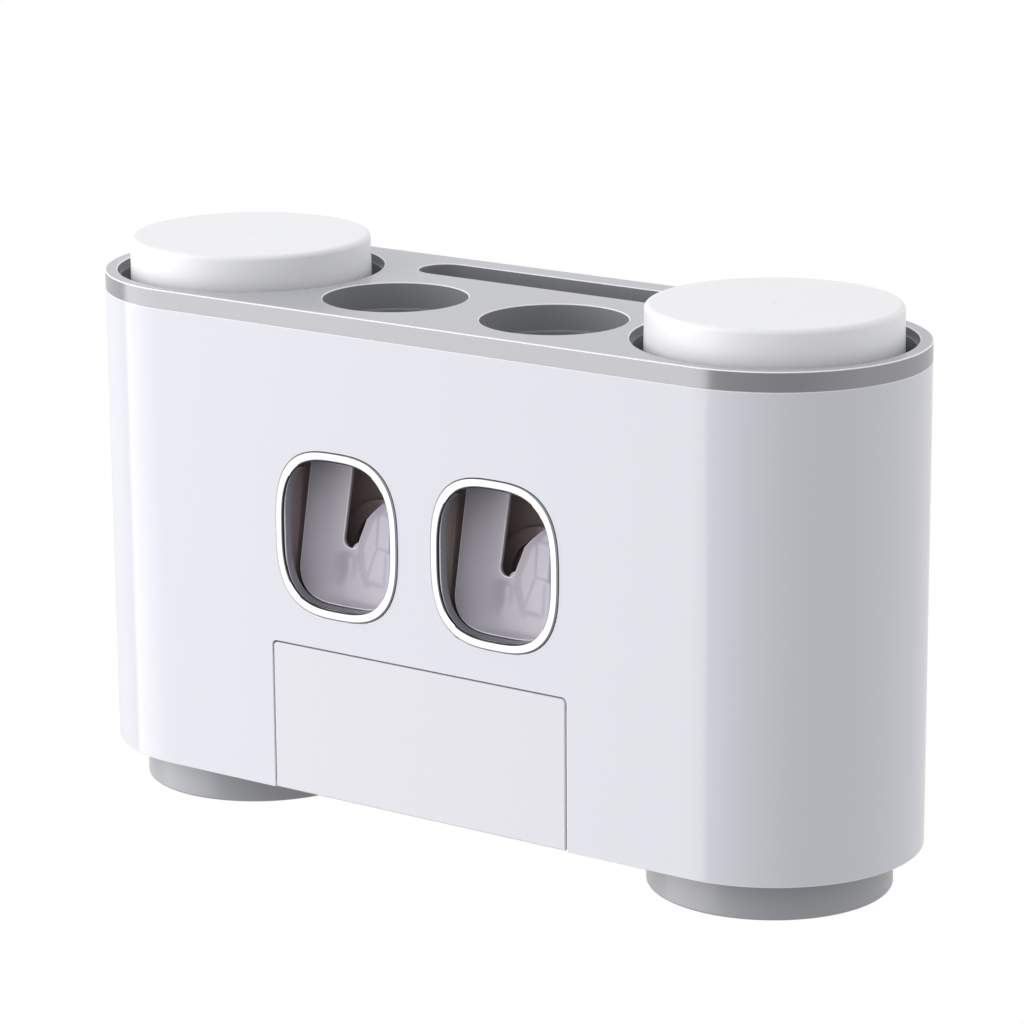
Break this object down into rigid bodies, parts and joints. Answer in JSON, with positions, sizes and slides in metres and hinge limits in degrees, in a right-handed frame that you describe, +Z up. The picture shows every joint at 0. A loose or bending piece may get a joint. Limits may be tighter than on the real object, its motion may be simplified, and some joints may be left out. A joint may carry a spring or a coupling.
{
  "type": "toothpaste dispenser",
  "caption": "Wall-hung white dispenser with chrome-ringed lever windows, tube ports on top, removable cups at the round ends, a rear tray and a flip door over brush slots.",
  "frame": {"origin": "on the wall, at the middle of the wall plate's adhesive back", "axes": "+X to the right seen from the front, +Y into the wall, +Z up"},
  "size_m": [0.3112, 0.1007, 0.1918],
  "materials": {
    "shell_white": "smooth glossy injection-moulded white with a faint lilac tint",
    "door_white": "smooth glossy white, a shade warmer than the shell",
    "cover_grey": "satin light grey",
    "recess_grey": "satin mid grey inside the openings",
    "inner_grey": "satin grey",
    "cup_white": "fine matte white",
    "cup_grey": "fine matte grey",
    "ring_chrome": "polished plating",
    "pump_taupe": "dark satin brown-grey",
    "lever_lilac": "satin grey with a lilac tint",
    "nozzle_plastic": "smooth dark plastic",
    "clear_plastic": "smooth pale plastic",
    "seal_rubber": "soft grey seal rubber",
    "bulb_rubber": "soft translucent silicone",
    "steel": "plain ground steel",
    "adhesive": "white foam tape"
  },
  "bodies": {
    "wall_mount": {"wall_plate": "clear_plastic", "adhesive_pad": "adhesive"},
    "housing": {"outer_shell": "shell_white", "back_panel": "shell_white", "back_screws": "steel", "bottom_plate": "inner_grey", "brush_rack": "inner_grey", "brush_bay": "inner_grey", "top_cover": "cover_grey", "storage_tray": "recess_grey", "port_sleeve_left": "recess_grey", "port_sleeve_right": "recess_grey", "cup_bay_left": "recess_grey", "cup_bay_right": "recess_grey", "bay_magnet_left": "steel", "bay_magnet_right": "steel", "pump_body_left": "pump_taupe", "pump_body_right": "pump_taupe", "window_ring_left": "ring_chrome", "window_ring_right": "ring_chrome", "tube_socket_left": "seal_rubber", "tube_socket_right": "seal_rubber", "nozzle_left": "nozzle_plastic", "nozzle_right": "nozzle_plastic", "pump_bulb_left": "bulb_rubber", "pump_bulb_right": "bulb_rubber", "bulb_clamp_left": "clear_plastic", "bulb_clamp_right": "clear_plastic", "lever_pin_left": "steel", "lever_pin_right": "steel", "door_pins": "steel"},
    "door": {"door": "door_white"},
    "push_lever_left": {"push_lever_left": "lever_lilac"},
    "push_lever_right": {"push_lever_right": "lever_lilac"},
    "upper_cup_left": {"upper_cup_left": "cup_white"},
    "upper_cup_right": {"upper_cup_right": "cup_white"},
    "lower_cup_left": {"lower_cup_left": "cup_grey", "cup_disc_left": "steel"},
    "lower_cup_right": {"lower_cup_right": "cup_grey", "cup_disc_right": "steel"}
  },
  "joints": [
    {"name": "housing_lift", "type": "slide", "parent": "wall_mount", "child": "housing", "axis": [0, 0, 1], "range_m": [0, 0.0075]},
    {"name": "door_hinge", "type": "hinge", "parent": "housing", "child": "door", "pos_m": [0, -0.098, -0.0563], "axis": [-1, 0, 0], "range_deg": [0, 88]},
    {"name": "push_lever_hinge_left", "type": "hinge", "parent": "housing", "child": "push_lever_left", "pos_m": [-0.0319, -0.0812, 0.0198], "axis": [1, 0, 0], "range_deg": [0, 10], "stiffness_Nm_per_rad": 0.6, "springref_deg": -2.86, "deforming": ["pump_bulb_left"]},
    {"name": "upper_cup_slide_left", "type": "slide", "parent": "housing", "child": "upper_cup_left", "axis": [0, 0, 1], "range_m": [0, 0.095]},
    {"name": "lower_cup_slide_left", "type": "slide", "parent": "housing", "child": "lower_cup_left", "axis": [0, 0, -1], "range_m": [0, 0.095]},
    {"name": "push_lever_hinge_right", "type": "hinge", "parent": "housing", "child": "push_lever_right", "pos_m": [0.0319, -0.0812, 0.0198], "axis": [1, 0, 0], "range_deg": [0, 10], "stiffness_Nm_per_rad": 0.6, "springref_deg": -2.86, "deforming": ["pump_bulb_right"]},
    {"name": "upper_cup_slide_right", "type": "slide", "parent": "housing", "child": "upper_cup_right", "axis": [0, 0, 1], "range_m": [0, 0.095]},
    {"name": "lower_cup_slide_right", "type": "slide", "parent": "housing", "child": "lower_cup_right", "axis": [0, 0, -1], "range_m": [0, 0.095]}
  ]
}
